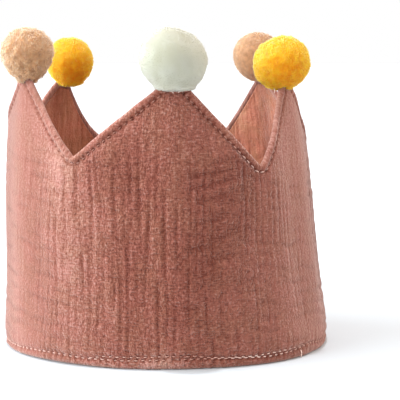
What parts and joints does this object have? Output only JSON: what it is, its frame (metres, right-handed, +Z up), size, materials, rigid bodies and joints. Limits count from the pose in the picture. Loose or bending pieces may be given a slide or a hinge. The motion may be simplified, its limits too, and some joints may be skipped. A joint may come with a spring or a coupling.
{
  "type": "birthday crown",
  "caption": "Soft cloth birthday crown: a round upright band of lined cotton gauze that rises to pointed peaks, with a yarn pompom on each peak.",
  "frame": {"origin": "on the surface the crown stands on, in the middle of the open hem where the head goes in", "axes": "+Z up towards the points, -Y to the front point, +X to the crown's right-hand side as seen from the front"},
  "size_m": [0.1525, 0.1409, 0.147],
  "materials": {
    "gauze": "crinkled cotton double gauze, dusty terracotta rose",
    "gauze_lining": "the same cotton double gauze, seen inside",
    "yarn_cream": "trimmed wool yarn pompom, cream",
    "yarn_tan": "trimmed wool yarn pompom, tan",
    "yarn_yellow": "trimmed wool yarn pompom, golden yellow",
    "thread": "polyester sewing thread, pale rose"
  },
  "bodies": {
    "root": {"outer_band": "gauze", "lining": "gauze_lining", "pompom_front": "yarn_cream", "pompom_left": "yarn_tan", "pompom_right": "yarn_yellow", "pompom_back_left": "yarn_yellow", "pompom_back_right": "yarn_tan"}
  },
  "joints": []
}
